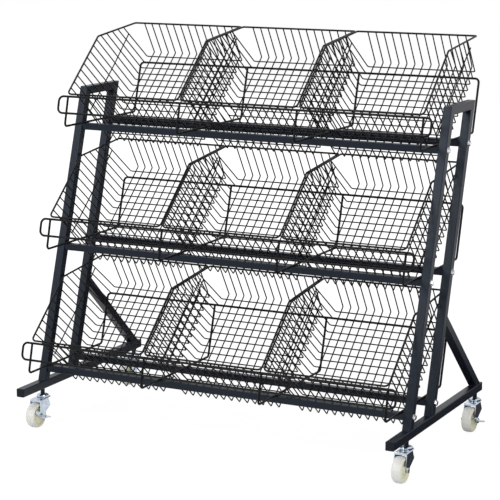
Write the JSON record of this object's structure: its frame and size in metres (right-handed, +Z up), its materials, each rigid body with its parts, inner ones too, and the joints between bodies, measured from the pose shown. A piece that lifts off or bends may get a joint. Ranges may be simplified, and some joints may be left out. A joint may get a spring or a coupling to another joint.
{
  "type": "tiered basket stand",
  "caption": "Free-standing wire basket display on castors: leaning square-tube side frames carry stepped tiers of sloping, open-front wire bins with label loops.",
  "frame": {"origin": "on the floor, midway between the two side frames and under the middle of the stand's whole depth", "axes": "+X to the right as seen from the front, +Y to the back, +Z up"},
  "size_m": [1.2418, 0.7231, 1.1702],
  "materials": {
    "frame_coat": "satin black powder coat",
    "wire_coat": "satin black powder coat",
    "plug": "matte black",
    "zinc": "bright zinc plate",
    "castor_steel": "blue zinc plate",
    "nylon": "smooth white nylon"
  },
  "bodies": {
    "stand": {"left_foot": "frame_coat", "left_front_post": "frame_coat", "left_rear_post": "frame_coat", "left_cap": "frame_coat", "left_brace": "frame_coat", "right_foot": "frame_coat", "right_front_post": "frame_coat", "right_rear_post": "frame_coat", "right_cap": "frame_coat", "right_brace": "frame_coat", "foot_plugs": "plug", "front_crossbar_upper": "frame_coat", "rear_crossbar_upper": "frame_coat", "front_crossbar_middle": "frame_coat", "rear_crossbar_middle": "frame_coat", "front_crossbar_lower": "frame_coat", "rear_crossbar_lower": "frame_coat", "crossbar_nut_plates": "zinc", "crossbar_bolts": "zinc", "upper_brackets": "wire_coat", "upper_back_rail": "wire_coat", "upper_label_loop": "wire_coat", "middle_brackets": "wire_coat", "middle_back_rail": "wire_coat", "middle_label_loop": "wire_coat", "lower_brackets": "wire_coat", "lower_back_rail": "wire_coat", "lower_label_loop": "wire_coat", "castor_sockets": "frame_coat", "castor_stems": "castor_steel"},
    "basket_upper_left": {"upper_left_basket": "wire_coat"},
    "basket_upper_centre": {"upper_centre_basket": "wire_coat"},
    "basket_upper_right": {"upper_right_basket": "wire_coat"},
    "basket_middle_left": {"middle_left_basket": "wire_coat"},
    "basket_middle_centre": {"middle_centre_basket": "wire_coat"},
    "basket_middle_right": {"middle_right_basket": "wire_coat"},
    "basket_lower_left": {"lower_left_basket": "wire_coat"},
    "basket_lower_centre": {"lower_centre_basket": "wire_coat"},
    "basket_lower_right": {"lower_right_basket": "wire_coat"},
    "castor_front_left": {"front_left_fork": "castor_steel", "front_left_axle": "zinc"},
    "roller_front_left": {"front_left_wheel": "nylon"},
    "lever_front_left": {"front_left_brake": "castor_steel"},
    "castor_front_right": {"front_right_fork": "castor_steel", "front_right_axle": "zinc"},
    "roller_front_right": {"front_right_wheel": "nylon"},
    "castor_rear_left": {"rear_left_fork": "castor_steel", "rear_left_axle": "zinc"},
    "roller_rear_left": {"rear_left_wheel": "nylon"},
    "castor_rear_right": {"rear_right_fork": "castor_steel", "rear_right_axle": "zinc"},
    "roller_rear_right": {"rear_right_wheel": "nylon"},
    "lever_rear_right": {"rear_right_brake": "castor_steel"}
  },
  "joints": [
    {"name": "lift_upper_left", "type": "slide", "parent": "stand", "child": "basket_upper_left", "axis": [0, -0.7071, 0.7071], "range_m": [0, 0.3]},
    {"name": "lift_upper_centre", "type": "slide", "parent": "stand", "child": "basket_upper_centre", "axis": [0, -0.7071, 0.7071], "range_m": [0, 0.3]},
    {"name": "lift_upper_right", "type": "slide", "parent": "stand", "child": "basket_upper_right", "axis": [0, -0.7071, 0.7071], "range_m": [0, 0.3]},
    {"name": "lift_middle_left", "type": "slide", "parent": "stand", "child": "basket_middle_left", "axis": [0, -0.7071, 0.7071], "range_m": [0, 0.055]},
    {"name": "lift_middle_centre", "type": "slide", "parent": "stand", "child": "basket_middle_centre", "axis": [0, -0.7071, 0.7071], "range_m": [0, 0.055]},
    {"name": "lift_middle_right", "type": "slide", "parent": "stand", "child": "basket_middle_right", "axis": [0, -0.7071, 0.7071], "range_m": [0, 0.055]},
    {"name": "lift_lower_left", "type": "slide", "parent": "stand", "child": "basket_lower_left", "axis": [0, -0.7071, 0.7071], "range_m": [0, 0.055]},
    {"name": "lift_lower_centre", "type": "slide", "parent": "stand", "child": "basket_lower_centre", "axis": [0, -0.7071, 0.7071], "range_m": [0, 0.055]},
    {"name": "lift_lower_right", "type": "slide", "parent": "stand", "child": "basket_lower_right", "axis": [0, -0.7071, 0.7071], "range_m": [0, 0.055]},
    {"name": "swivel_front_left", "type": "hinge", "parent": "stand", "child": "castor_front_left", "pos_m": [-0.5875, -0.241, 0.09], "axis": [0, 0, 1], "continuous": true},
    {"name": "roll_front_left", "type": "hinge", "parent": "castor_front_left", "child": "roller_front_left", "pos_m": [-0.5875, -0.28, 0.0375], "axis": [1, 0, 0], "continuous": true},
    {"name": "brake_front_left", "type": "hinge", "parent": "castor_front_left", "child": "lever_front_left", "pos_m": [-0.5875, -0.28, 0.0375], "axis": [-1, 0, 0], "range_deg": [0, 20]},
    {"name": "swivel_front_right", "type": "hinge", "parent": "stand", "child": "castor_front_right", "pos_m": [0.5875, -0.241, 0.09], "axis": [0, 0, 1], "continuous": true},
    {"name": "roll_front_right", "type": "hinge", "parent": "castor_front_right", "child": "roller_front_right", "pos_m": [0.5875, -0.28, 0.0375], "axis": [1, 0, 0], "continuous": true},
    {"name": "swivel_rear_left", "type": "hinge", "parent": "stand", "child": "castor_rear_left", "pos_m": [-0.5875, 0.3, 0.09], "axis": [0, 0, 1], "continuous": true},
    {"name": "roll_rear_left", "type": "hinge", "parent": "castor_rear_left", "child": "roller_rear_left", "pos_m": [-0.5875, 0.261, 0.0375], "axis": [1, 0, 0], "continuous": true},
    {"name": "swivel_rear_right", "type": "hinge", "parent": "stand", "child": "castor_rear_right", "pos_m": [0.5875, 0.3, 0.09], "axis": [0, 0, 1], "continuous": true},
    {"name": "roll_rear_right", "type": "hinge", "parent": "castor_rear_right", "child": "roller_rear_right", "pos_m": [0.5875, 0.261, 0.0375], "axis": [1, 0, 0], "continuous": true},
    {"name": "brake_rear_right", "type": "hinge", "parent": "castor_rear_right", "child": "lever_rear_right", "pos_m": [0.5875, 0.261, 0.0375], "axis": [-1, 0, 0], "range_deg": [0, 20]}
  ]
}
